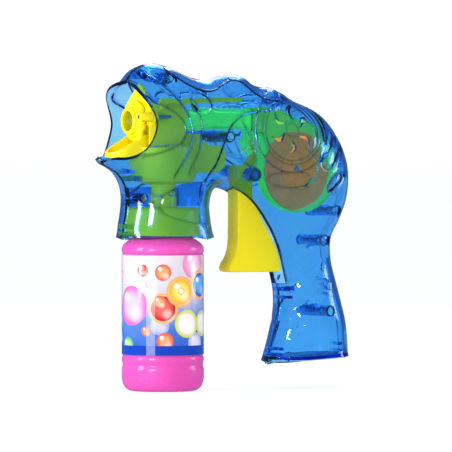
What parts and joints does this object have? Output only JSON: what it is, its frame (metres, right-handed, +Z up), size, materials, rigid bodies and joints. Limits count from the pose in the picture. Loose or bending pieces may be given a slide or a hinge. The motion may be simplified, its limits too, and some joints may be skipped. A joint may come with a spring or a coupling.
{
  "type": "bubble machine",
  "caption": "Hand-held trigger bubble gun: clear tinted shell, geared fan, tube pump, round nozzle with drip spout, and a screw-on bottle.",
  "frame": {"origin": "on the floor, under the middle of the whole object", "axes": "-X towards the muzzle, +Y towards the right shell, +Z up along the bottle"},
  "size_m": [0.1452, 0.0512, 0.1694],
  "materials": {
    "blue_plastic": "clear tinted, polished",
    "lime_plastic": "clear tinted, fluorescent",
    "yellow_plastic": "opaque, satin",
    "orange_plastic": "opaque, satin",
    "pink_plastic": "opaque, soft gloss",
    "label_film": "printed film",
    "steel": "bright zinc",
    "brass": "turned",
    "seal_rubber": "soft",
    "clear_plastic": "clear, soft"
  },
  "bodies": {
    "frame": {"left_shell": "blue_plastic", "right_shell": "blue_plastic", "screw_head": "steel", "screw_chin": "steel", "screw_arch": "steel", "screw_hump": "steel", "screw_waist": "steel", "screw_grip": "steel", "blower_housing": "lime_plastic", "blower_cover": "lime_plastic", "air_duct": "lime_plastic", "gearbox_plate": "lime_plastic", "gear_pin": "steel", "fan_bush_near": "brass", "fan_bush_far": "brass", "nozzle_plate": "yellow_plastic", "bubble_nozzle": "yellow_plastic", "drip_funnel": "yellow_plastic", "bottle_adaptor": "yellow_plastic", "bottle_seal": "seal_rubber", "pump_housing": "lime_plastic", "pump_tube": "clear_plastic", "tube_filter": "clear_plastic", "trigger_pin": "steel", "trigger_spring": "steel", "wiper_pin": "steel"},
    "trigger": {"trigger": "yellow_plastic"},
    "first_gear": {"compound_gear_1": "yellow_plastic", "pump_shaft": "steel", "pump_rotor": "orange_plastic", "pump_roller_1": "clear_plastic", "pump_roller_2": "clear_plastic", "pump_roller_3": "clear_plastic"},
    "second_gear": {"compound_gear_2": "yellow_plastic"},
    "clutch": {"clutch_pinion": "yellow_plastic"},
    "fan": {"fan": "orange_plastic", "fan_shaft": "steel", "clutch_dog": "orange_plastic"},
    "wiper": {"wiper_arm": "yellow_plastic"},
    "wiper_rod": {"wiper_rod": "yellow_plastic"},
    "bottle": {"bottle": "pink_plastic", "bottle_label": "label_film"}
  },
  "joints": [
    {"name": "trigger_pull", "type": "hinge", "parent": "frame", "child": "trigger", "pos_m": [0.01, 0, 0.112], "axis": [0, -1, 0], "range_deg": [0, 20], "stiffness_Nm_per_rad": 0.06, "springref_deg": -8.59},
    {"name": "first_gear_spin", "type": "hinge", "parent": "frame", "child": "first_gear", "pos_m": [0.03206, 0, 0.12924], "axis": [0, -1, 0], "range_deg": [-121, 1]},
    {"name": "second_gear_spin", "type": "hinge", "parent": "frame", "child": "second_gear", "pos_m": [0.04768, 0, 0.12575], "axis": [0, -1, 0], "range_deg": [-1, 361]},
    {"name": "clutch_spin", "type": "hinge", "parent": "frame", "child": "clutch", "pos_m": [0.0378, 0, 0.1142], "axis": [0, -1, 0], "range_deg": [-1009, 1]},
    {"name": "fan_spin", "type": "hinge", "parent": "frame", "child": "fan", "pos_m": [0.0378, 0, 0.1142], "axis": [0, -1, 0], "continuous": true},
    {"name": "wiper_swing", "type": "hinge", "parent": "frame", "child": "wiper", "pos_m": [-0.0571, -0.0152, 0.142], "axis": [1, 0, 0], "range_deg": [0, 76]},
    {"name": "wiper_rod_slide", "type": "slide", "parent": "frame", "child": "wiper_rod", "axis": [-1, 0, 0], "range_m": [0, 0.0062]},
    {"name": "bottle_removal", "type": "slide", "parent": "frame", "child": "bottle", "axis": [0, 0, -1], "range_m": [0, 0.018]}
  ],
  "couplings": [
    {"joint": "first_gear_spin", "follows": "trigger_pull", "ratio": -6},
    {"joint": "second_gear_spin", "follows": "trigger_pull", "ratio": 18},
    {"joint": "clutch_spin", "follows": "trigger_pull", "ratio": -50.4},
    {"joint": "wiper_swing", "follows": "trigger_pull", "ratio": 3.75},
    {"joint": "wiper_rod_slide", "follows": "trigger_pull", "m_per_rad": 0.0172}
  ]
}
